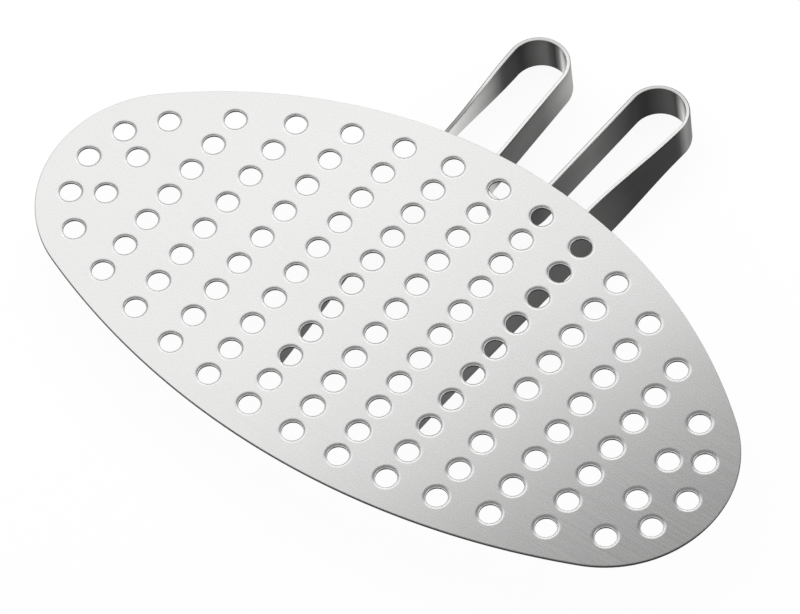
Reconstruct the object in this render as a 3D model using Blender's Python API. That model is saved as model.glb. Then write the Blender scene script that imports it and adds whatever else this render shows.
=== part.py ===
"""Oval perforated grill plate on a handle bent from one flat bar.

Metres, +Z up. The plate lies flat on the top edge of the bar. The bar stands on edge and runs as one
serpentine: left leg, left finger loop, centre bend, right finger loop, right leg. Short weld beads join
the bar to the underside of the plate. The part rests on the bar's bottom edge, at z = 0.
"""

import math

import bmesh
import bpy
from mathutils import Vector

# Plate outline: two end arcs, joined by a back arc and a front arc that run tangent into them.
# Depths are measured from the line through the centres of the end arcs.
PLATE_LENGTH = 0.370
PLATE_THICKNESS = 0.0015
END_RADIUS = 0.059
BACK_DEPTH = 0.1049
FRONT_DEPTH = 0.0843

# Holes: columns across the plate, with the outermost holes on a line inside the rim.
HOLE_DIAMETER = 0.010
RIM_WALL = 0.0108
COLUMN_WALL = 0.015
HOLE_WALL = 0.0055
END_HOLE_WALL = 0.010

# Handle bar and its bends. Radii are measured on the inside of each bend.
BAR_WIDTH = 0.020
BAR_THICKNESS = 0.002
LOOP_RADIUS = 0.0132
BEND_RADIUS = 0.0137
LOOP_REACH = 0.0712
LOOP_SPACING = 0.062
LOOP_SHIFT = 0.0034
BEND_SHIFT = 0.0021
LOOP_STAGGER = 0.008
BEND_COVER = 0.020
LEG_COVER = 0.138
LEG_FRONT_SPREAD = 0.0732
LEG_BACK_SPREAD = 0.0857
LEG_LEAN = 0.0053

# Weld beads, and the gap left between pieces that touch.
BEAD_LENGTH = 0.018
BEAD_LEG = 0.0025
BEAD_END_MARGIN = 0.008
SEAT_GAP = 0.0003

# Facets
HOLE_SIDES = 16
END_STEPS = 18
SIDE_STEPS = 24
LOOP_STEPS = 22
BEND_STEPS = 18
LEG_STEPS = 14
BEAD_STEPS = 4
BEAD_ROUND_STEPS = 3

# Values that follow from the driving dimensions
END_X = PLATE_LENGTH / 2 - END_RADIUS
HOLE_INSET = RIM_WALL + HOLE_DIAMETER / 2
INSET_END_RADIUS = END_RADIUS - HOLE_INSET
BAR_HALF = BAR_THICKNESS / 2
LOOP_LINE = LOOP_RADIUS + BAR_HALF
BEND_LINE = BEND_RADIUS + BAR_HALF
LOOP_Y = BACK_DEPTH + LOOP_REACH - BAR_HALF - LOOP_LINE
BEND_Y = BACK_DEPTH - BEND_COVER + BEND_LINE
LEG_FRONT_Y = BACK_DEPTH - LEG_COVER
UNDERSIDE_Z = BAR_WIDTH + SEAT_GAP

# Finishes: colour and roughness
PLATE_FINISH = ((0.62, 0.62, 0.61, 1.0), 0.32)
BAR_FINISH = ((0.30, 0.30, 0.30, 1.0), 0.35)
WELD_FINISH = ((0.24, 0.23, 0.22, 1.0), 0.5)


def clear_scene():
    for old in list(bpy.data.objects):
        bpy.data.objects.remove(old, do_unlink=True)


def steel(name, colour, roughness):
    material = bpy.data.materials.new(name)
    material.use_nodes = True
    shader = material.node_tree.nodes["Principled BSDF"]
    shader.inputs["Base Color"].default_value = colour
    shader.inputs["Roughness"].default_value = roughness
    shader.inputs["Metallic"].default_value = 1.0
    return material


def arc(centre, radius, start, end, steps):
    """Points on an arc, both ends included, with angles in radians from +X."""
    turn = (end - start) / steps
    angles = [start + turn * i for i in range(steps + 1)]
    return [Vector((centre[0] + radius * math.cos(a), centre[1] + radius * math.sin(a), 0)) for a in angles]


# Plate

def side_arc(depth):
    """Radius of a long side arc, and how far its centre lies beyond the end-centre line, towards the arc."""
    radius = (END_X**2 + depth**2 - END_RADIUS**2) / (2 * (depth - END_RADIUS))
    return radius, depth - radius


def outline_points():
    """The plate's outline, counter-clockwise from the front of the right end."""
    back_radius, back_centre = side_arc(BACK_DEPTH)
    front_radius, front_centre = side_arc(FRONT_DEPTH)
    back_turn = math.atan2(-back_centre, END_X)
    front_turn = math.atan2(-front_centre, END_X)
    points = arc((END_X, 0), END_RADIUS, -front_turn, back_turn, END_STEPS)
    points += arc((0, back_centre), back_radius, back_turn, math.pi - back_turn, SIDE_STEPS)[1:]
    points += arc((-END_X, 0), END_RADIUS, math.pi - back_turn, math.pi + front_turn, END_STEPS)[1:]
    front = arc((0, -front_centre), front_radius, math.pi + front_turn, 2 * math.pi - front_turn, SIDE_STEPS)
    return points + front[1:-1]


def hole_line(x, depth):
    """Distance from the end-centre line to the outermost hole centre at x, on the side of the given depth."""
    radius, centre = side_arc(depth)
    if abs(x) <= END_X * (radius - HOLE_INSET) / (radius - END_RADIUS):
        return centre + math.sqrt((radius - HOLE_INSET) ** 2 - x**2)
    return math.sqrt(INSET_END_RADIUS**2 - (abs(x) - END_X) ** 2)


def column_holes(x, wall):
    """Hole centres in the column at x, evenly spaced with at least this wall between them."""
    back = hole_line(x, BACK_DEPTH)
    front = -hole_line(x, FRONT_DEPTH)
    gaps = int((back - front) / (HOLE_DIAMETER + wall))
    return [(x, front + (back - front) * i / gaps) for i in range(gaps + 1)]


def end_holes(last_x):
    """Hole centres round both end arcs, evenly spaced between the end holes of the last columns."""
    half_turn = math.acos((last_x - END_X) / INSET_END_RADIUS)
    gaps = int(2 * half_turn * INSET_END_RADIUS / (HOLE_DIAMETER + END_HOLE_WALL))
    centres = []
    for i in range(1, gaps):
        angle = half_turn - 2 * half_turn * i / gaps
        x = END_X + INSET_END_RADIUS * math.cos(angle)
        y = INSET_END_RADIUS * math.sin(angle)
        centres += [(x, y), (-x, y)]
    return centres


def hole_centres():
    pitch = HOLE_DIAMETER + COLUMN_WALL
    tip_x = END_X + INSET_END_RADIUS
    last = int((tip_x - HOLE_DIAMETER - HOLE_WALL) / pitch)
    centres = []
    for column in range(-last, last + 1):
        wall = END_HOLE_WALL if abs(column) == last else HOLE_WALL
        centres += column_holes(column * pitch, wall)
    return centres + end_holes(last * pitch)


def add_loop(curve, points):
    spline = curve.splines.new("POLY")
    spline.points.add(len(points) - 1)
    for target, point in zip(spline.points, points):
        target.co = (point.x, point.y, 0, 1)
    spline.use_cyclic_u = True


def build_plate(place):
    curve = bpy.data.curves.new("perforated_plate", "CURVE")
    curve.dimensions = "2D"
    curve.fill_mode = "BOTH"
    curve.extrude = PLATE_THICKNESS / 2
    add_loop(curve, outline_points())
    for centre in hole_centres():
        add_loop(curve, arc(centre, HOLE_DIAMETER / 2, 0, 2 * math.pi, HOLE_SIDES)[:-1])
    plate = place("perforated_plate", curve, steel("plate_steel", *PLATE_FINISH))
    plate.location.z = PLATE_THICKNESS / 2


# Handle bar

def loop_centre(side):
    """Centre of a finger loop. Side is -1 for the left loop and 1 for the right one, which reaches further."""
    x = LOOP_SHIFT + side * LOOP_SPACING / 2
    return Vector((x, LOOP_Y + side * LOOP_STAGGER / 2, 0))


def tangent_turn(side):
    """Angle, below level, at which a leg runs out of its loop towards the plate's back edge."""
    centre = loop_centre(side)
    target = Vector((side * LEG_BACK_SPREAD / 2, BACK_DEPTH, 0)) - centre
    away = math.atan2(target.y, side * target.x)
    return away + math.acos(LOOP_LINE / target.length)


def inner_turn(side):
    """Angle, from +X, at which a loop's inner leg runs out of it towards the centre bend."""
    away = Vector((BEND_SHIFT, BEND_Y, 0)) - loop_centre(side)
    return math.atan2(away.y, away.x) - side * math.acos((LOOP_LINE + BEND_LINE) / away.length)


def leg_top_y(side):
    return loop_centre(side).y + LOOP_LINE * math.sin(tangent_turn(side))


def leg_point(side, y):
    """The leg's centre line at mid height: straight under the plate, then straight on into its loop."""
    turn = tangent_turn(side)
    back_x = LEG_BACK_SPREAD / 2
    if y <= BACK_DEPTH:
        share = (y - LEG_FRONT_Y) / LEG_COVER
        x = LEG_FRONT_SPREAD / 2 + (back_x - LEG_FRONT_SPREAD / 2) * share
    else:
        share = (y - BACK_DEPTH) / (leg_top_y(side) - BACK_DEPTH)
        loop_x = side * loop_centre(side).x + LOOP_LINE * math.cos(turn)
        x = back_x + (loop_x - back_x) * share
    return Vector((side * x, y, 0))


def leg_lean(side, y):
    """How far the leg's top edge lies inside its bottom edge: none at its ends, most at the plate's edge."""
    if y <= BACK_DEPTH:
        share = (y - LEG_FRONT_Y) / LEG_COVER
    else:
        share = (leg_top_y(side) - y) / (leg_top_y(side) - BACK_DEPTH)
    return LEG_LEAN * share * share * (3 - 2 * share)


def leg(side):
    """Points of an outer leg from its front end to its loop, each with its lean."""
    step = (leg_top_y(side) - LEG_FRONT_Y) / LEG_STEPS
    heights = [LEG_FRONT_Y + step * i for i in range(LEG_STEPS)]
    return [(leg_point(side, y), leg_lean(side, y)) for y in heights]


def upright(points):
    return [(point, 0.0) for point in points]


def loop(side):
    """Points round a finger loop, from its outer leg to its inner leg."""
    turn = tangent_turn(side)
    if side < 0:
        points = arc(loop_centre(side), LOOP_LINE, math.pi - turn, inner_turn(side), LOOP_STEPS)
    else:
        points = arc(loop_centre(side), LOOP_LINE, turn, 2 * math.pi + inner_turn(side), LOOP_STEPS)
    return upright(points)


def centre_bend(start, end, steps):
    return upright(arc((BEND_SHIFT, BEND_Y), BEND_LINE, start, end, steps))


def bar_path():
    """The bar's centre line from the left leg's front end to the right leg's, each point with its lean."""
    left = leg(-1) + loop(-1)
    right = leg(1) + loop(1)
    bend = centre_bend(math.pi + inner_turn(-1), 3 * math.pi + inner_turn(1), BEND_STEPS)
    return left + bend + right[::-1]


def to_the_right(points, i):
    """Level unit vector to the right of the path at point i, which is inwards on both outer legs."""
    before = points[max(i - 1, 0)]
    after = points[min(i + 1, len(points) - 1)]
    along = (after - before).normalized()
    return Vector((along.y, -along.x, 0))


def loft(name, rings):
    """Closed mesh through rings of as many points each, with flat ends."""
    mesh = bpy.data.meshes.new(name)
    shape = bmesh.new()
    rows = [[shape.verts.new(point) for point in ring] for ring in rings]
    count = len(rows[0])
    for low, high in zip(rows, rows[1:]):
        for i in range(count):
            j = (i + 1) % count
            shape.faces.new((low[i], low[j], high[j], high[i]))
    shape.faces.new(rows[0][::-1])
    shape.faces.new(rows[-1])
    bmesh.ops.recalc_face_normals(shape, faces=shape.faces)
    shape.to_mesh(mesh)
    shape.free()
    return mesh


def build_bar(place):
    path = bar_path()
    points = [point for point, _ in path]
    top = Vector((0, 0, -SEAT_GAP))
    bottom = Vector((0, 0, -SEAT_GAP - BAR_WIDTH))
    rings = []
    for i, (point, lean) in enumerate(path):
        right = to_the_right(points, i)
        upper = point + right * lean / 2 + top
        lower = point - right * lean / 2 + bottom
        half = right * BAR_HALF
        rings.append((upper - half, upper + half, lower + half, lower - half))
    place("handle_strip", loft("handle_strip", rings), steel("bar_steel", *BAR_FINISH))


# Weld beads

def bead_section(corner, right, lean):
    """Rounded fillet under the plate, on the right of the bar, leaning with the bar's face."""
    slope = lean / BAR_WIDTH
    section = [corner]
    for i in range(BEAD_ROUND_STEPS + 1):
        angle = math.pi / 2 * i / BEAD_ROUND_STEPS
        out = BEAD_LEG * math.cos(angle)
        down = BEAD_LEG * math.sin(angle)
        section.append(corner + right * (out - down * slope) - Vector((0, 0, down)))
    return section


def build_bead(place, name, path):
    points = [point for point, _ in path]
    drop = Vector((0, 0, -SEAT_GAP))
    rings = []
    for i, (point, lean) in enumerate(path):
        right = to_the_right(points, i)
        corner = point + right * (lean / 2 + BAR_HALF + SEAT_GAP) + drop
        rings.append(bead_section(corner, right, lean))
    place(name, loft(name, rings), steel(name + "_steel", *WELD_FINISH))


def leg_bead_path(side, middle_y):
    """Bead along a leg, run so that the inside of the leg is on its right."""
    heights = [middle_y + BEAD_LENGTH * (i / BEAD_STEPS - 0.5) for i in range(BEAD_STEPS + 1)]
    path = [(leg_point(side, y), leg_lean(side, y)) for y in heights]
    return path if side < 0 else path[::-1]


def build_beads(place):
    front_y = LEG_FRONT_Y + BEAD_END_MARGIN + BEAD_LENGTH / 2
    rear_y = hole_line(LEG_BACK_SPREAD / 2, BACK_DEPTH) - BEAD_LENGTH / 2
    stations = {"front": front_y, "middle": (front_y + rear_y) / 2, "rear": rear_y}
    for side, side_name in ((-1, "left"), (1, "right")):
        for station, y in stations.items():
            build_bead(place, f"weld_bead_{side_name}_{station}", leg_bead_path(side, y))
    half_turn = BEAD_LENGTH / 2 / BEND_LINE
    bottom_turn = 1.5 * math.pi
    path = centre_bend(bottom_turn - half_turn, bottom_turn + half_turn, BEAD_STEPS)
    build_bead(place, "weld_bead_centre", path)


def main():
    clear_scene()
    parts = bpy.data.collections.new("grill_basket")
    bpy.context.scene.collection.children.link(parts)
    base = bpy.data.objects.new("grill_basket_base", None)
    parts.objects.link(base)
    reach = loop_centre(1).y + LOOP_LINE + BAR_HALF
    base.location = (0, (FRONT_DEPTH - reach) / 2, UNDERSIDE_Z)

    def place(name, data, material):
        data.materials.append(material)
        part = bpy.data.objects.new(name, data)
        part.parent = base
        parts.objects.link(part)
        return part

    build_plate(place)
    build_bar(place)
    build_beads(place)


main()
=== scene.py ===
"""Looks of the grill basket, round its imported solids.

A brushed plate with rolled hole rims, a bent bar with ground edges, and rippled weld beads.
Lengths are in metres.
"""

import math

import bmesh
import bpy
from mathutils import Matrix, Vector


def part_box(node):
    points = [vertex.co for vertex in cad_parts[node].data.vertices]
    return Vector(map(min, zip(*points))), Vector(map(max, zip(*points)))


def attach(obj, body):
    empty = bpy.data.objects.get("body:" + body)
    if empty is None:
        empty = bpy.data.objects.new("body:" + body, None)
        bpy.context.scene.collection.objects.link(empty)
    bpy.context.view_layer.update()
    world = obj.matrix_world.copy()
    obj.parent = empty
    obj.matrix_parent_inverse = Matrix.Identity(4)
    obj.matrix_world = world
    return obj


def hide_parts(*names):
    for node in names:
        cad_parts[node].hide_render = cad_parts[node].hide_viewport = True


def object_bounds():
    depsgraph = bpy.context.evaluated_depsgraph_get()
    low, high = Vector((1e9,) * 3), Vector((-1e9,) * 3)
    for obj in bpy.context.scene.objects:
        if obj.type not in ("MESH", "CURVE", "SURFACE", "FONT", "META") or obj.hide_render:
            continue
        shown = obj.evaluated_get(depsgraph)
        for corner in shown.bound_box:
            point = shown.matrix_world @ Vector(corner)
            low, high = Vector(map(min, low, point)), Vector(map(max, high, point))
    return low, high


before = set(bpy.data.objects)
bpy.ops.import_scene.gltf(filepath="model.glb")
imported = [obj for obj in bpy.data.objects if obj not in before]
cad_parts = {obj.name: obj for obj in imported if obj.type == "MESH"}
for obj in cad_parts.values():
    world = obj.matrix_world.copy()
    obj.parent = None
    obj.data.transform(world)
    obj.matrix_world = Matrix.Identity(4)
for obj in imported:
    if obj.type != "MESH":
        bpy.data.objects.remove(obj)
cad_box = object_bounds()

BODY = "root"
PLATE_LOW, PLATE_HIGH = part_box("perforated_plate")
BAR_LOW, BAR_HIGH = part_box("handle_strip")

# Plate outline and holes, as the solid has them.
# Depths run from the line through the end arcs' centres.
PLATE_LENGTH = PLATE_HIGH.x - PLATE_LOW.x
END_RADIUS = 0.059
FRONT_DEPTH = 0.0843
BACK_DEPTH = PLATE_HIGH.y - PLATE_LOW.y - FRONT_DEPTH
HOLE_DIAMETER = 0.010
RIM_WALL = 0.0108
COLUMN_WALL = 0.015
HOLE_WALL = 0.0055
END_HOLE_WALL = 0.010

# Handle bar, as the solid has it
BAR_WIDTH = BAR_HIGH.z - BAR_LOW.z
BAR_THICKNESS = 0.002
LOOP_RADIUS = 0.0132
BEND_RADIUS = 0.0137
LOOP_REACH = 0.0712
LOOP_SPACING = 0.062
LOOP_SHIFT = 0.0034
BEND_SHIFT = 0.0021
LOOP_STAGGER = 0.008
BEND_COVER = 0.020
LEG_COVER = 0.138
LEG_FRONT_SPREAD = 0.0732
LEG_BACK_SPREAD = 0.0857
LEG_LEAN = 0.0053
SEAT_GAP = PLATE_LOW.z - BAR_HIGH.z

# Weld beads
BEAD_LENGTH = 0.018
BEAD_LEG = 0.0025
BEAD_END_MARGIN = 0.008
RIPPLE_PITCH = 0.0015
RIPPLE_DEPTH = 0.14
BEAD_TIP_SIZE = 0.35
BEAD_TIP_POWER = 6

# Edges that only show close up. HOLD is the strip that keeps a flat face flat beside a round edge.
ROLL_WIDTH = 0.0018
ROLL_DEPTH = 0.00075
BURR = 0.00012
RIM_ROUND = 0.00035
BAR_ROUND = 0.0004
HOLD = 0.00012

# Fineness of the meshes
HOLE_SIDES = 48
ROLL_STEPS = 6
RIM_STEPS = 4
END_STEPS = 48
SIDE_STEPS = 96
LOOP_STEPS = 64
BEND_STEPS = 48
LEG_STEPS = 60
CORNER_STEPS = 4
BEAD_STEPS = 72
BEAD_ROUND_STEPS = 8
SMOOTH_ANGLE = math.radians(40)
MERGE_DISTANCE = HOLD / 20

# Order of the materials on the plate and on the bar
BRUSHED, PUNCHED, SHEARED = range(3)
BROAD, GROUND = range(2)

# Strips of an edge's profile, from the top face down, from which on the metal is punched or sheared
PUNCHED_FROM = ROLL_STEPS - 2
SHEARED_FROM = RIM_STEPS - 1

# Values that follow
END_X = PLATE_LENGTH / 2 - END_RADIUS
HOLE_INSET = RIM_WALL + HOLE_DIAMETER / 2
INSET_END_RADIUS = END_RADIUS - HOLE_INSET
BAR_HALF = BAR_THICKNESS / 2
LOOP_LINE = LOOP_RADIUS + BAR_HALF
BEND_LINE = BEND_RADIUS + BAR_HALF
LOOP_Y = BACK_DEPTH + LOOP_REACH - BAR_HALF - LOOP_LINE
BEND_Y = BACK_DEPTH - BEND_COVER + BEND_LINE
LEG_FRONT_Y = BACK_DEPTH - LEG_COVER
SHIFT = Vector((0, PLATE_LOW.y + FRONT_DEPTH, 0))

# Name of the bar's map
BAR_MAP = "along_bar"

# Camera, at the photograph's angle. The image is 800 by 614 pixels.
VIEW_AZIMUTH = math.radians(43.15)
VIEW_ELEVATION = math.radians(55.67)
VIEW_ROLL = math.radians(-7.98)
VIEW_DISTANCE = 3.8004
VIEW_LENS = 377.9
SENSOR_WIDTH = 36.0
VIEW_TARGET = Vector((0.0004, -0.0356, 0.0212))


def arc(centre, radius, start, end, steps):
    """Points on an arc, both ends included, with angles in radians from +X."""
    turn = (end - start) / steps
    points = []
    for i in range(steps + 1):
        angle = start + turn * i
        x = centre[0] + radius * math.cos(angle)
        y = centre[1] + radius * math.sin(angle)
        points.append(Vector((x, y, 0)))
    return points


# Plate shape

def side_arc(depth):
    """Radius of a long side arc, and its centre's distance from the end-centre line, towards the arc."""
    radius = (END_X**2 + depth**2 - END_RADIUS**2) / (2 * (depth - END_RADIUS))
    return radius, depth - radius


def outline_points(inset):
    """The plate's outline drawn in by inset, counter-clockwise from the front of the right end."""
    back_radius, back_centre = side_arc(BACK_DEPTH)
    front_radius, front_centre = side_arc(FRONT_DEPTH)
    back_turn = math.atan2(-back_centre, END_X)
    front_turn = math.atan2(-front_centre, END_X)
    left_back = math.pi - back_turn
    left_front = math.pi + front_turn
    right_front = 2 * math.pi - front_turn
    end = END_RADIUS - inset
    back = back_radius - inset
    front = front_radius - inset
    points = arc((END_X, 0), end, -front_turn, back_turn, END_STEPS)
    points += arc((0, back_centre), back, back_turn, left_back, SIDE_STEPS)[1:]
    points += arc((-END_X, 0), end, left_back, left_front, END_STEPS)[1:]
    points += arc((0, -front_centre), front, left_front, right_front, SIDE_STEPS)[1:-1]
    return points


def hole_line(x, depth):
    """Distance from the end-centre line to the last hole centre at x, on the side of this depth."""
    radius, centre = side_arc(depth)
    if abs(x) <= END_X * (radius - HOLE_INSET) / (radius - END_RADIUS):
        return centre + math.sqrt((radius - HOLE_INSET) ** 2 - x**2)
    return math.sqrt(INSET_END_RADIUS**2 - (abs(x) - END_X) ** 2)


def column_holes(x, wall):
    """Hole centres in the column at x, evenly spaced with at least this wall between them."""
    back = hole_line(x, BACK_DEPTH)
    front = -hole_line(x, FRONT_DEPTH)
    gaps = int((back - front) / (HOLE_DIAMETER + wall))
    return [(x, front + (back - front) * i / gaps) for i in range(gaps + 1)]


def end_holes(last_x):
    """Hole centres round both end arcs, evenly spaced between the end holes of the last columns."""
    half_turn = math.acos((last_x - END_X) / INSET_END_RADIUS)
    gaps = int(2 * half_turn * INSET_END_RADIUS / (HOLE_DIAMETER + END_HOLE_WALL))
    centres = []
    for i in range(1, gaps):
        angle = half_turn - 2 * half_turn * i / gaps
        x = END_X + INSET_END_RADIUS * math.cos(angle)
        y = INSET_END_RADIUS * math.sin(angle)
        centres += [(x, y), (-x, y)]
    return centres


def hole_centres():
    """Centres of all holes: the columns, and then the ends of the outer ring."""
    pitch = HOLE_DIAMETER + COLUMN_WALL
    tip_x = END_X + INSET_END_RADIUS
    last = int((tip_x - HOLE_DIAMETER - HOLE_WALL) / pitch)
    centres = []
    for column in range(-last, last + 1):
        wall = END_HOLE_WALL if abs(column) == last else HOLE_WALL
        centres += column_holes(column * pitch, wall)
    return centres + end_holes(last * pitch)


def edge_profile(width, depth, steps):
    """(distance into the metal, height) from the top face, over a round edge, to the bottom face."""
    top = PLATE_HIGH.z
    bottom = PLATE_LOW.z
    profile = [(width + HOLD, top)]
    for i in range(steps + 1):
        turn = math.pi / 2 * i / steps
        profile.append((width * (1 - math.sin(turn)), top - depth * (1 - math.cos(turn))))
    return profile + [(0, bottom + BURR), (BURR, bottom), (BURR + HOLD, bottom)]


def add_edge(shape, loops, cut_from, cut_finish):
    """Strips between closed loops of as many points each, with the cut finish from one strip on."""
    rows = [[shape.verts.new(point) for point in loop] for loop in loops]
    count = len(rows[0])
    for strip, (upper, lower) in enumerate(zip(rows, rows[1:])):
        finish = cut_finish if strip >= cut_from else BRUSHED
        for i in range(count):
            j = (i + 1) % count
            face = shape.faces.new((upper[i], upper[j], lower[j], lower[i]))
            face.material_index = finish


def at_height(points, z):
    return [Vector((point.x, point.y, z)) + SHIFT for point in points]


def flat_face(loops):
    """Mesh of the flat face inside the first loop and outside the others, from a filled curve."""
    curve = bpy.data.curves.new("flat_face", "CURVE")
    curve.dimensions = "2D"
    curve.fill_mode = "BOTH"
    for loop in loops:
        spline = curve.splines.new("POLY")
        spline.points.add(len(loop) - 1)
        for target, point in zip(spline.points, loop):
            target.co = (point.x, point.y, 0, 1)
        spline.use_cyclic_u = True
    holder = bpy.data.objects.new("flat_face", curve)
    bpy.context.scene.collection.objects.link(holder)
    graph = bpy.context.evaluated_depsgraph_get()
    mesh = bpy.data.meshes.new_from_object(holder.evaluated_get(graph))
    bpy.data.objects.remove(holder)
    bpy.data.curves.remove(curve)
    return mesh


def add_flat(shape, loops, z):
    """Add the flat face inside the first loop and outside the others, at height z."""
    mesh = flat_face(loops)
    mesh.transform(Matrix.Translation(SHIFT + Vector((0, 0, z))))
    shape.from_mesh(mesh)
    bpy.data.meshes.remove(mesh)


def finished_mesh(name, shape):
    """Mesh of a shape, which is freed, with faces turned outwards and sharp edges marked."""
    bmesh.ops.recalc_face_normals(shape, faces=shape.faces)
    mesh = bpy.data.meshes.new(name)
    shape.to_mesh(mesh)
    shape.free()
    mesh.set_sharp_from_angle(angle=SMOOTH_ANGLE)
    return mesh


def hole_loop(centre, out):
    return arc(centre, HOLE_DIAMETER / 2 + out, 0, 2 * math.pi, HOLE_SIDES)[:-1]


def plate_mesh():
    rim = edge_profile(RIM_ROUND, RIM_ROUND, RIM_STEPS)
    hole = edge_profile(ROLL_WIDTH, ROLL_DEPTH, ROLL_STEPS)
    centres = hole_centres()
    shape = bmesh.new()
    for end in (0, -1):
        loops = [outline_points(rim[end][0])]
        loops += [hole_loop(centre, hole[end][0]) for centre in centres]
        add_flat(shape, loops, hole[end][1])
    loops = [at_height(outline_points(inset), z) for inset, z in rim]
    add_edge(shape, loops, SHEARED_FROM, SHEARED)
    for centre in centres:
        loops = [at_height(hole_loop(centre, out), z) for out, z in hole]
        add_edge(shape, loops, PUNCHED_FROM, PUNCHED)
    bmesh.ops.remove_doubles(shape, verts=shape.verts, dist=MERGE_DISTANCE)
    for face in shape.faces:
        face.smooth = True
    return finished_mesh("plate", shape)


# Bar shape

def loop_centre(side):
    """Centre of a finger loop. Side is -1 for the left one, and 1 for the right one, further back."""
    x = LOOP_SHIFT + side * LOOP_SPACING / 2
    return Vector((x, LOOP_Y + side * LOOP_STAGGER / 2, 0))


def tangent_turn(side):
    """Angle, below level, at which a leg runs out of its loop towards the plate's back edge."""
    centre = loop_centre(side)
    target = Vector((side * LEG_BACK_SPREAD / 2, BACK_DEPTH, 0)) - centre
    away = math.atan2(target.y, side * target.x)
    return away + math.acos(LOOP_LINE / target.length)


def inner_turn(side):
    """Angle, from +X, at which a loop's inner leg runs out of it towards the centre bend."""
    away = Vector((BEND_SHIFT, BEND_Y, 0)) - loop_centre(side)
    return math.atan2(away.y, away.x) - side * math.acos((LOOP_LINE + BEND_LINE) / away.length)


def leg_top_y(side):
    return loop_centre(side).y + LOOP_LINE * math.sin(tangent_turn(side))


def leg_point(side, y):
    """The leg's centre line at mid height: straight to the plate's edge, and straight on to its loop."""
    turn = tangent_turn(side)
    back_x = LEG_BACK_SPREAD / 2
    if y <= BACK_DEPTH:
        share = (y - LEG_FRONT_Y) / LEG_COVER
        x = LEG_FRONT_SPREAD / 2 + (back_x - LEG_FRONT_SPREAD / 2) * share
    else:
        share = (y - BACK_DEPTH) / (leg_top_y(side) - BACK_DEPTH)
        loop_x = side * loop_centre(side).x + LOOP_LINE * math.cos(turn)
        x = back_x + (loop_x - back_x) * share
    return Vector((side * x, y, 0))


def leg_lean(side, y):
    """How far the leg's top edge lies inside its bottom edge: most where the plate ends."""
    if y <= BACK_DEPTH:
        share = (y - LEG_FRONT_Y) / LEG_COVER
    else:
        share = (leg_top_y(side) - y) / (leg_top_y(side) - BACK_DEPTH)
    return LEG_LEAN * share * share * (3 - 2 * share)


def leg(side):
    """Points of an outer leg from its front end to its loop, each with its lean."""
    step = (leg_top_y(side) - LEG_FRONT_Y) / LEG_STEPS
    heights = [LEG_FRONT_Y + step * i for i in range(LEG_STEPS)]
    return [(leg_point(side, y), leg_lean(side, y)) for y in heights]


def upright(points):
    return [(point, 0.0) for point in points]


def loop(side):
    """Points round a finger loop, from its outer leg to its inner leg."""
    turn = tangent_turn(side)
    if side < 0:
        points = arc(loop_centre(side), LOOP_LINE, math.pi - turn, inner_turn(side), LOOP_STEPS)
    else:
        points = arc(loop_centre(side), LOOP_LINE, turn, 2 * math.pi + inner_turn(side), LOOP_STEPS)
    return upright(points)


def centre_bend(start, end, steps):
    return upright(arc((BEND_SHIFT, BEND_Y), BEND_LINE, start, end, steps))


def bar_path():
    """The bar's centre line, from the left leg's front end to the right leg's, with its lean."""
    left = leg(-1) + loop(-1)
    right = leg(1) + loop(1)
    bend = centre_bend(math.pi + inner_turn(-1), 3 * math.pi + inner_turn(1), BEND_STEPS)
    return left + bend + right[::-1]


def to_the_right(points, i):
    """Level unit vector to the right of the path at point i, which is inwards on both legs."""
    before = points[max(i - 1, 0)]
    after = points[min(i + 1, len(points) - 1)]
    along = (after - before).normalized()
    return Vector((along.y, -along.x, 0))


def bar_section():
    """Points round the bar's section: across, height, and the finish from there to the next."""
    section = []
    # Each corner's side, whether it is an upper one, and where its arc starts, in half turns from +X
    corners = ((1, True, 0.5), (1, False, 0.0), (-1, False, -0.5), (-1, True, -1.0))
    for side, upper, half_turns in corners:
        centre_x = side * (BAR_HALF - BAR_ROUND)
        centre_z = BAR_WIDTH - BAR_ROUND if upper else BAR_ROUND
        going_down = side > 0
        before_face = going_down == upper
        for i in range(CORNER_STEPS + 1):
            turn = math.pi * half_turns - math.pi / 2 * i / CORNER_STEPS
            across = centre_x + BAR_ROUND * math.cos(turn)
            height = centre_z + BAR_ROUND * math.sin(turn)
            near_face = (i >= CORNER_STEPS / 2) == before_face
            outer_corner = side < 0 and i < CORNER_STEPS
            section.append((across, height, BROAD if near_face or outer_corner else GROUND))
        if before_face:
            step = -HOLD if going_down else HOLD
            far_z = BAR_ROUND if going_down else BAR_WIDTH - BAR_ROUND
            section.append((side * BAR_HALF, centre_z + step, BROAD))
            section.append((side * BAR_HALF, far_z - step, BROAD))
    return section


def path_lengths(points):
    """Distance along the path at each point."""
    lengths = [0.0]
    for before, after in zip(points, points[1:]):
        lengths.append(lengths[-1] + (after - before).length)
    return lengths


def bar_rows(shape, path, section):
    """Corners of the bar's section at each point of its path."""
    points = [point for point, _ in path]
    rows = []
    for i, (point, lean) in enumerate(path):
        right = to_the_right(points, i)
        row = []
        for across, height, _ in section:
            out = across + lean * (height / BAR_WIDTH - 0.5)
            place = point + right * out + Vector((0, 0, BAR_LOW.z + height)) + SHIFT
            row.append(shape.verts.new(place))
        rows.append(row)
    return rows


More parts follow.
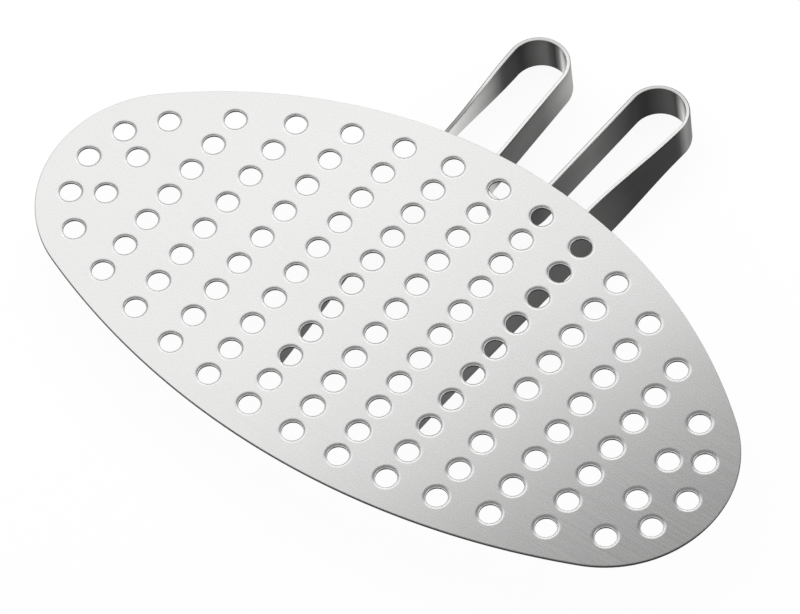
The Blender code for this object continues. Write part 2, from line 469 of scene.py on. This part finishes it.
def bar_mesh():
    """The bar, with a map of distance along it and height on it, below zero on its left."""
    path = bar_path()
    lengths = path_lengths([point for point, _ in path])
    section = bar_section()
    count = len(section)
    shape = bmesh.new()
    rows = bar_rows(shape, path, section)
    uv = shape.loops.layers.uv.new(BAR_MAP)
    for i, (near, far) in enumerate(zip(rows, rows[1:])):
        places = (lengths[i], lengths[i], lengths[i + 1], lengths[i + 1])
        for j, (across, _, finish) in enumerate(section):
            k = (j + 1) % count
            face = shape.faces.new((near[j], near[k], far[k], far[j]))
            face.material_index = finish
            face.smooth = True
            side = 1 if across > 0 else -1
            heights = [side * section[n][1] for n in (j, k, k, j)]
            for corner, place, height in zip(face.loops, places, heights):
                corner[uv].uv = (place, height)
    for row in (rows[0][::-1], rows[-1]):
        shape.faces.new(row).material_index = GROUND
    return finished_mesh("bar", shape)


# Weld shape

def ripple(share):
    """Size of a bead at this share of its length: overlapping scales, drawn in at both ends."""
    scale = (share * BEAD_LENGTH / RIPPLE_PITCH) % 1.0
    crest = 1 - RIPPLE_DEPTH * (2 * scale - 1) ** 2
    ends = math.sqrt(max(0.0, 1 - abs(2 * share - 1) ** BEAD_TIP_POWER))
    return crest * (BEAD_TIP_SIZE + (1 - BEAD_TIP_SIZE) * ends)


def bead_ring(corner, right, lean, size):
    """Rounded fillet under the plate, on the right of the bar, leaning with the bar's face."""
    slope = lean / BAR_WIDTH
    ring = [corner]
    for i in range(BEAD_ROUND_STEPS + 1):
        turn = math.pi / 2 * i / BEAD_ROUND_STEPS
        out = size * math.cos(turn)
        down = size * math.sin(turn)
        ring.append(corner + right * (out - down * slope) - Vector((0, 0, down)))
    return ring


def bead_mesh(name, path):
    points = [point for point, _ in path]
    shape = bmesh.new()
    rows = []
    for i, (point, lean) in enumerate(path):
        right = to_the_right(points, i)
        out = lean / 2 + BAR_HALF + SEAT_GAP
        corner = point + right * out + Vector((0, 0, PLATE_LOW.z - SEAT_GAP)) + SHIFT
        ring = bead_ring(corner, right, lean, BEAD_LEG * ripple(i / (len(path) - 1)))
        rows.append([shape.verts.new(place) for place in ring])
    count = len(rows[0])
    for near, far in zip(rows, rows[1:]):
        for j in range(count):
            k = (j + 1) % count
            shape.faces.new((near[j], near[k], far[k], far[j])).smooth = True
    shape.faces.new(rows[0][::-1])
    shape.faces.new(rows[-1])
    return finished_mesh(name, shape)


def leg_bead_path(side, middle_y):
    """Bead along a leg, run so that the inside of the leg is on its right."""
    heights = [middle_y + BEAD_LENGTH * (i / BEAD_STEPS - 0.5) for i in range(BEAD_STEPS + 1)]
    path = [(leg_point(side, y), leg_lean(side, y)) for y in heights]
    return path if side < 0 else path[::-1]


def bead_paths():
    """Path of each weld bead, by the name of its node."""
    front_y = LEG_FRONT_Y + BEAD_END_MARGIN + BEAD_LENGTH / 2
    rear_y = hole_line(LEG_BACK_SPREAD / 2, BACK_DEPTH) - BEAD_LENGTH / 2
    stations = {"front": front_y, "middle": (front_y + rear_y) / 2, "rear": rear_y}
    paths = {}
    for side, side_name in ((-1, "left"), (1, "right")):
        for station, y in stations.items():
            paths[f"weld_bead_{side_name}_{station}"] = leg_bead_path(side, y)
    half_turn = BEAD_LENGTH / 2 / BEND_LINE
    front_turn = 1.5 * math.pi
    start = front_turn - half_turn
    end = front_turn + half_turn
    paths["weld_bead_centre"] = centre_bend(start, end, BEAD_STEPS)
    return paths


# Materials

# Names and places of node sockets. A mix node has its colours after its numbers and vectors.
RANGE_SOCKETS = ("From Min", "From Max", "To Min", "To Max")
MIX_COLOURS_IN = (6, 7)
MIX_COLOUR_OUT = 2

# Most of a noise lies in this range.
NOISE_RANGE = (0.25, 0.75)

# Each noise has its features per metre along three axes, and its detail. A bump has a depth and a
# strength. Spreads, shares and roughnesses are the ends of a range that a noise is spread over.

PLATE_LINES = ((28.0, 2600.0, 2600.0), 6.0)
PLATE_CLOUDS = ((14.0, 22.0, 22.0), 3.0)
PLATE_COLOURS = ((0.3, (0.615, 0.615, 0.61)), (0.7, (0.645, 0.645, 0.64)))
PLATE_CLOUD_COLOUR = (0.57, 0.57, 0.565)
PLATE_CLOUD_SHARE = (0.0, 0.3)
PLATE_ROUGHNESS = (0.24, 0.31)
PLATE_BUMP = (0.00002, 0.08)

# Tones of cut metal by height in the plate, from 0 at its bottom face to 1 at its top. The holes' walls
# are painted dark as shade, with a painted highlight line above, and the rim is painted dark as shade,
# as in the photograph.
WALL_PAINTED_SHADE_AND_HIGHLIGHT = ((0.0, 0.003), (0.60, 0.003), (0.63, 0.85), (0.80, 0.85), (0.85, 0.4))
RIM_PAINTED_SHADE = ((0.0, 0.02), (0.60, 0.025), (0.80, 0.05))
CUT_DRAG = ((1800.0, 1800.0, 220.0), 4.0)
CUT_SPREAD = (0.75, 1.25)
CUT_ROUGHNESS = (0.34, 0.5)
CUT_BUMP = (0.00003, 0.3)

# Tones of the bar: a station, how far on towards the next one, and the tone there. They are painted
# reflections: the light and dark stretches and glints that the photograph shows along the bar's broad
# faces and narrow edges.
RIGHT_PAINTED_REFLECTIONS = (
    ("front", 0.6, 0.12), ("plate", 0.0, 1.0), ("plate", 0.62, 0.30), ("plate", 0.8, 0.038),
    ("loop", 0.08, 0.02), ("loop", 0.37, 0.12), ("loop", 0.47, 0.03), ("loop", 0.54, 0.035),
    ("loop", 0.6, 0.9), ("loop_end", 0.0, 0.07), ("bend", 0.1, 0.5), ("bend", 0.4, 0.5),
    ("bend", 0.62, 0.05), ("bend_end", 0.5, 0.15), ("bend_end", 0.95, 0.025),
    ("far_loop", 0.15, 0.025), ("far_loop", 0.42, 0.085), ("far_loop", 0.54, 0.033),
    ("far_loop", 0.575, 0.95), ("far_loop_end", 0.05, 0.06),
)
LEFT_PAINTED_REFLECTIONS = (
    ("loop", 0.0, 0.10), ("loop", 0.9, 0.46), ("loop_end", 0.12, 0.25), ("loop_end", 0.32, 0.13),
    ("loop_end", 0.92, 0.11), ("bend", 0.05, 0.70), ("bend", 0.35, 0.55), ("bend", 0.6, 0.035),
    ("far_loop", 0.0, 0.05), ("far_loop", 0.8, 0.14), ("far_loop", 0.95, 0.30),
    ("far_loop_end", 0.05, 0.034), ("far_loop_end", 0.6, 0.042), ("far_plate", 0.0, 0.09),
    ("far_front", 0.0, 0.14),
)
EDGE_PAINTED_REFLECTIONS = (
    ("front", 0.9, 0.9), ("plate", 0.0, 0.32), ("plate", 0.3, 0.42), ("plate", 0.6, 0.9),
    ("loop", 0.1, 0.72), ("loop", 0.5, 0.66), ("loop", 0.85, 0.95), ("bend_end", 0.7, 1.0),
    ("far_loop", 0.1, 0.74), ("far_loop", 0.5, 0.68), ("far_loop", 0.85, 0.95),
)

# Blue in the bar's tones, and the tint of its faces at glancing angles
BAR_BLUE = 0.985
BAR_GLANCING = (0.68, 0.68, 0.68, 1.0)
BAR_LINES = ((18.0, 2400.0, 1.0), 6.0)
BAR_CLOUDS = ((26.0, 60.0, 1.0), 3.0)
BAR_LINE_SPREAD = (0.84, 1.16)
BAR_CLOUD_SPREAD = (0.86, 1.14)
BAR_ROUGHNESS = (0.30, 0.42)
BAR_BUMP = (0.00003, 0.3)

GROUND_LINES = ((40.0, 3000.0, 1.0), 5.0)
GROUND_SPREAD = (0.66, 0.74)
GROUND_ROUGHNESS = (0.26, 0.38)
GROUND_BUMP = (0.00002, 0.1)

WELD_TINT = ((160.0, 160.0, 160.0), 2.0)
WELD_COLOURS = ((0.35, (0.20, 0.21, 0.24)), (0.5, (0.27, 0.265, 0.26)), (0.65, (0.33, 0.27, 0.19)))
WELD_GRAIN = ((2200.0, 2200.0, 2200.0), 4.0)
WELD_ROUGHNESS = (0.38, 0.6)
WELD_BUMP = (0.00004, 0.4)


class Nodes:
    """Short ways to add and link the nodes of one tree."""

    def __init__(self, tree):
        self.tree = tree

    def add(self, kind, **settings):
        node = self.tree.nodes.new(kind)
        for key, value in settings.items():
            setattr(node, key, value)
        return node

    def link(self, output, target):
        self.tree.links.new(output, target)

    def parts(self, vector):
        """Outputs X, Y and Z, by name."""
        node = self.add("ShaderNodeSeparateXYZ")
        self.link(vector, node.inputs["Vector"])
        return node.outputs

    def mapped(self, value, source, target):
        """Value in the source range spread over the target range."""
        node = self.add("ShaderNodeMapRange")
        for socket, level in zip(RANGE_SOCKETS, (*source, *target)):
            node.inputs[socket].default_value = level
        self.link(value, node.inputs["Value"])
        return node.outputs["Result"]


class Metal(Nodes):
    """A metal made of nodes."""

    def __init__(self, name):
        self.material = bpy.data.materials.new(name)
        self.material.use_nodes = True
        super().__init__(self.material.node_tree)
        self.shader = self.tree.nodes["Principled BSDF"]
        self.shader.inputs["Metallic"].default_value = 1.0

    def place(self):
        return self.add("ShaderNodeTexCoord").outputs["Object"]

    def along_bar(self):
        return self.add("ShaderNodeUVMap", uv_map=BAR_MAP).outputs["UV"]

    def noise(self, place, stretch, detail):
        """Noise with so many features per metre along each axis of place."""
        mapping = self.add("ShaderNodeMapping")
        mapping.inputs["Scale"].default_value = stretch
        self.link(place, mapping.inputs["Vector"])
        noise = self.add("ShaderNodeTexNoise")
        noise.inputs["Scale"].default_value = 1.0
        noise.inputs["Detail"].default_value = detail
        self.link(mapping.outputs["Vector"], noise.inputs["Vector"])
        return noise.outputs["Fac"]

    def spread(self, noise, low, high):
        return self.mapped(noise, NOISE_RANGE, (low, high))

    def ramp(self, value, stops):
        """Colour by value, from stops that are each a place and a colour."""
        node = self.add("ShaderNodeValToRGB")
        elements = node.color_ramp.elements
        while len(elements) < len(stops):
            elements.new(0.5)
        for element, (place, colour) in zip(elements, stops):
            element.position = place
            element.color = (*colour, 1.0)
        self.link(value, node.inputs["Fac"])
        return node.outputs["Color"]

    def mixed(self, share, first, second):
        """First colour at share 0, second at 1. Each is an output or three numbers."""
        node = self.add("ShaderNodeMix", data_type="RGBA")
        self.link(share, node.inputs["Factor"])
        for socket, colour in zip(MIX_COLOURS_IN, (first, second)):
            if isinstance(colour, tuple):
                node.inputs[socket].default_value = (*colour, 1.0)
            else:
                self.link(colour, node.inputs[socket])
        return node.outputs[MIX_COLOUR_OUT]

    def maths(self, operation, value, other):
        node = self.add("ShaderNodeMath", operation=operation)
        self.link(value, node.inputs[0])
        node.inputs[1].default_value = other
        return node.outputs["Value"]

    def scaled(self, colour, value):
        node = self.add("ShaderNodeVectorMath", operation="SCALE")
        self.link(colour, node.inputs["Vector"])
        self.link(value, node.inputs["Scale"])
        return node.outputs["Vector"]

    def surface(self, colour, roughness):
        self.link(colour, self.shader.inputs["Base Color"])
        self.link(roughness, self.shader.inputs["Roughness"])

    def bump(self, value, depth, strength):
        node = self.add("ShaderNodeBump")
        node.inputs["Distance"].default_value = depth
        node.inputs["Strength"].default_value = strength
        self.link(value, node.inputs["Height"])
        self.link(node.outputs["Normal"], self.shader.inputs["Normal"])


def brushed_plate():
    """Fine brush lines along the plate's length, with faint clouding."""
    metal = Metal("plate_brushed_steel")
    place = metal.place()
    lines = metal.noise(place, *PLATE_LINES)
    clouds = metal.spread(metal.noise(place, *PLATE_CLOUDS), *PLATE_CLOUD_SHARE)
    colour = metal.mixed(clouds, metal.ramp(lines, PLATE_COLOURS), PLATE_CLOUD_COLOUR)
    metal.surface(colour, metal.spread(lines, *PLATE_ROUGHNESS))
    metal.bump(lines, *PLATE_BUMP)
    return metal.material


def cut_edge(name, painted_tones):
    """Punched or sheared metal in the holes' walls and round the rim, with upright drag marks and
    painted shade and highlight by height.
    """
    metal = Metal(name)
    place = metal.place()
    drag = metal.noise(place, *CUT_DRAG)
    height = metal.mapped(metal.parts(place)["Z"], (PLATE_LOW.z, PLATE_HIGH.z), (0.0, 1.0))
    # Painted shade and highlight by height in the plate
    painted_tone = metal.ramp(height, [(share, (level, level, level)) for share, level in painted_tones])
    colour = metal.scaled(painted_tone, metal.spread(drag, *CUT_SPREAD))
    metal.surface(colour, metal.spread(drag, *CUT_ROUGHNESS))
    metal.bump(drag, *CUT_BUMP)
    return metal.material


def stations():
    """Distances along the bar of its ends, of the plate's edge and of each bend's two ends."""
    left = path_lengths([point for point, _ in leg(-1) + loop(-1)])
    whole = path_lengths([point for point, _ in bar_path()])
    right = path_lengths([point for point, _ in leg(1) + loop(1)])
    total = whole[-1]
    bend = len(left)
    return {
        "front": 0.0,
        "plate": LEG_COVER,
        "loop": left[LEG_STEPS],
        "loop_end": left[-1],
        "bend": whole[bend],
        "bend_end": whole[bend + BEND_STEPS],
        "far_loop": total - right[-1],
        "far_loop_end": total - right[LEG_STEPS],
        "far_plate": total - LEG_COVER,
        "far_front": total,
    }


def painted_tone_stops(painted_tones):
    """Ramp stops, over the bar's whole length, for tones given by station."""
    places = stations()
    names = list(places)
    total = places["far_front"]
    stops = []
    for station, share, painted_tone in painted_tones:
        start = places[station]
        end = places[names[min(names.index(station) + 1, len(names) - 1)]]
        place = (start + (end - start) * share) / total
        stops.append((place, (painted_tone, painted_tone, painted_tone * BAR_BLUE)))
    return stops


def painted_reflection_bar():
    """The bar's broad faces: steel brushed along its length, with painted reflections, glints and dark
    stretches, each side in its own tones.
    """
    metal = Metal("bar_steel_painted_reflections")
    metal.shader.inputs["Specular Tint"].default_value = BAR_GLANCING
    along = metal.along_bar()
    lines = metal.noise(along, *BAR_LINES)
    clouds = metal.noise(along, *BAR_CLOUDS)
    parts = metal.parts(along)
    share = metal.maths("DIVIDE", parts["X"], stations()["far_front"])
    on_right = metal.maths("GREATER_THAN", parts["Y"], 0.0)
    # Painted reflections, glints and dark stretches along each side of the bar
    right = metal.ramp(share, painted_tone_stops(RIGHT_PAINTED_REFLECTIONS))
    left = metal.ramp(share, painted_tone_stops(LEFT_PAINTED_REFLECTIONS))
    painted_tone = metal.mixed(on_right, left, right)
    brushed = metal.scaled(painted_tone, metal.spread(lines, *BAR_LINE_SPREAD))
    colour = metal.scaled(brushed, metal.spread(clouds, *BAR_CLOUD_SPREAD))
    metal.surface(colour, metal.spread(lines, *BAR_ROUGHNESS))
    metal.bump(lines, *BAR_BUMP)
    return metal.material


def ground_edge():
    """The bar's narrow edges: ground steel with lines along the bar, and painted highlights and
    reflections along it.
    """
    metal = Metal("bar_ground_steel_painted_highlights")
    along = metal.along_bar()
    lines = metal.noise(along, *GROUND_LINES)
    share = metal.maths("DIVIDE", metal.parts(along)["X"], stations()["far_front"])
    # Painted highlights and reflections along the edges
    painted_tone = metal.ramp(share, painted_tone_stops(EDGE_PAINTED_REFLECTIONS))
    colour = metal.scaled(painted_tone, metal.spread(lines, *GROUND_SPREAD))
    metal.surface(colour, metal.spread(lines, *GROUND_ROUGHNESS))
    metal.bump(lines, *GROUND_BUMP)
    return metal.material


def weld_metal():
    """Cast weld metal: dull, with a faint straw and blue heat tint."""
    metal = Metal("weld_steel")
    place = metal.place()
    tint = metal.noise(place, *WELD_TINT)
    grain = metal.noise(place, *WELD_GRAIN)
    metal.surface(metal.ramp(tint, WELD_COLOURS), metal.spread(grain, *WELD_ROUGHNESS))
    metal.bump(grain, *WELD_BUMP)
    return metal.material


# Pieces

def add_piece(name, mesh, node, materials):
    """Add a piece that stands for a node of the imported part."""
    for material in materials:
        mesh.materials.append(material)
    piece = bpy.data.objects.new(name, mesh)
    bpy.context.scene.collection.objects.link(piece)
    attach(piece, BODY)
    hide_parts(node)


def add_pieces():
    walls = cut_edge("plate_punched_steel_painted_shade_and_highlight", WALL_PAINTED_SHADE_AND_HIGHLIGHT)
    rim = cut_edge("plate_sheared_steel_painted_shade", RIM_PAINTED_SHADE)
    plate_steels = (brushed_plate(), walls, rim)
    add_piece("plate", plate_mesh(), "perforated_plate", plate_steels)
    bar_steels = (painted_reflection_bar(), ground_edge())
    add_piece("handle_bar", bar_mesh(), "handle_strip", bar_steels)
    weld = weld_metal()
    for node, path in bead_paths().items():
        name = node.replace("weld_bead", "weld")
        add_piece(name, bead_mesh(name, path), node, (weld,))


# Stage

# Levels are shares of white. The floor glows to rays that see it, and its catch of light keeps the
# shadow.
FLOOR_SIZE = 40.0
FLOOR_GLOW = 0.93
FLOOR_CATCH = 0.11
FLOOR_ALBEDO = 0.8

# The room is brighter at the horizon, and fades to its plain level between these two heights.
WORLD_LEVEL = 0.32
HORIZON_LEVEL = 0.8
HORIZON_FADE = (math.radians(14), math.radians(32))


def seen_share(nodes):
    """1 for rays from the camera, in gloss and through glass, and 0 for others."""
    path = nodes.add("ShaderNodeLightPath")
    seen = path.outputs["Is Camera Ray"]
    for ray in ("Is Glossy Ray", "Is Transmission Ray"):
        either = nodes.add("ShaderNodeMath", operation="MAXIMUM")
        nodes.link(seen, either.inputs[0])
        nodes.link(path.outputs[ray], either.inputs[1])
        seen = either.outputs["Value"]
    return seen


def matt(nodes, level):
    node = nodes.add("ShaderNodeBsdfDiffuse")
    node.inputs["Color"].default_value = (level, level, level, 1.0)
    return node.outputs["BSDF"]


def floor_material():
    """Pale floor that shows white to the camera and in the steel, and still takes the shadow."""
    material = bpy.data.materials.new("floor")
    material.use_nodes = True
    nodes = Nodes(material.node_tree)
    nodes.tree.nodes.clear()
    glow = nodes.add("ShaderNodeEmission")
    glow.inputs["Strength"].default_value = FLOOR_GLOW
    shown = nodes.add("ShaderNodeAddShader")
    nodes.link(matt(nodes, FLOOR_CATCH), shown.inputs[0])
    nodes.link(glow.outputs["Emission"], shown.inputs[1])
    mix = nodes.add("ShaderNodeMixShader")
    nodes.link(seen_share(nodes), mix.inputs[0])
    nodes.link(matt(nodes, FLOOR_ALBEDO), mix.inputs[1])
    nodes.link(shown.outputs[0], mix.inputs[2])
    output = nodes.add("ShaderNodeOutputMaterial")
    nodes.link(mix.outputs[0], output.inputs["Surface"])
    return material


def add_floor():
    shape = bmesh.new()
    bmesh.ops.create_grid(shape, x_segments=1, y_segments=1, size=FLOOR_SIZE / 2)
    mesh = bpy.data.meshes.new("floor")
    shape.to_mesh(mesh)
    shape.free()
    mesh.materials.append(floor_material())
    floor = bpy.data.objects.new("floor", mesh)
    floor.location.z = cad_box[0].z
    bpy.context.scene.collection.objects.link(floor)


def add_world():
    """Plain room, brighter at the horizon."""
    world = bpy.data.worlds.new("studio")
    world.use_nodes = True
    nodes = Nodes(world.node_tree)
    background = nodes.tree.nodes["Background"]
    background.inputs["Color"].default_value = (1.0, 1.0, 1.0, 1.0)
    direction = nodes.add("ShaderNodeTexCoord").outputs["Generated"]
    fade = [math.sin(height) for height in HORIZON_FADE]
    level = nodes.mapped(nodes.parts(direction)["Z"], fade, (HORIZON_LEVEL, WORLD_LEVEL))
    nodes.link(level, background.inputs["Strength"])
    bpy.context.scene.world = world


def add_softbox(name, centre, target, width, depth, level, spin=0):
    """Oblong light that faces its target and glows at level, spun by degrees about its beam."""
    light = bpy.data.lights.new(name, "AREA")
    light.shape = "RECTANGLE"
    light.size = width
    light.size_y = depth
    light.energy = level * math.pi * width * depth
    lamp = bpy.data.objects.new(name, light)
    lamp.location = centre
    facing = (Vector(target) - Vector(centre)).to_track_quat("-Z", "Y").to_matrix()
    lamp.rotation_euler = (facing @ Matrix.Rotation(math.radians(spin), 3, "Z")).to_euler()
    bpy.context.scene.collection.objects.link(lamp)


def add_softboxes():
    """One light above the back left, two further off behind, and one low in front."""
    add_softbox("softbox_back_left", centre=(-0.33, 0.42, 0.55), target=(-0.33, 0.42, 0.0),
                width=0.54, depth=1.0, level=1.08, spin=-20)
    add_softbox("softbox_back_right", centre=(1.1, 0.6, 0.75), target=(0.0, 0.0, 0.0),
                width=0.8, depth=0.6, level=1.0)
    add_softbox("softbox_back_low", centre=(-0.9, 0.98, 0.98), target=(0.0, 0.0, 0.0),
                width=1.6, depth=0.3, level=0.9)
    add_softbox("softbox_front_low", centre=(-0.3, -1.6, 0.55), target=(0.0, 0.0, 0.1),
                width=2.0, depth=0.5, level=0.9)


def add_camera():
    camera = bpy.data.cameras.new("camera")
    camera.lens = VIEW_LENS
    camera.sensor_width = SENSOR_WIDTH
    camera.sensor_fit = "HORIZONTAL"
    turn = Matrix.Rotation(VIEW_AZIMUTH, 4, "Z")
    tilt = Matrix.Rotation(math.pi / 2 - VIEW_ELEVATION, 4, "X")
    roll = Matrix.Rotation(VIEW_ROLL, 4, "Z")
    facing = turn @ tilt @ roll
    place = VIEW_TARGET + facing.to_3x3() @ Vector((0, 0, VIEW_DISTANCE))
    holder = bpy.data.objects.new("camera", camera)
    holder.matrix_world = Matrix.Translation(place) @ facing
    bpy.context.scene.collection.objects.link(holder)
    bpy.context.scene.camera = holder


add_pieces()
add_floor()
add_world()
add_softboxes()
add_camera()
bpy.context.scene.view_settings.view_transform = "Standard"
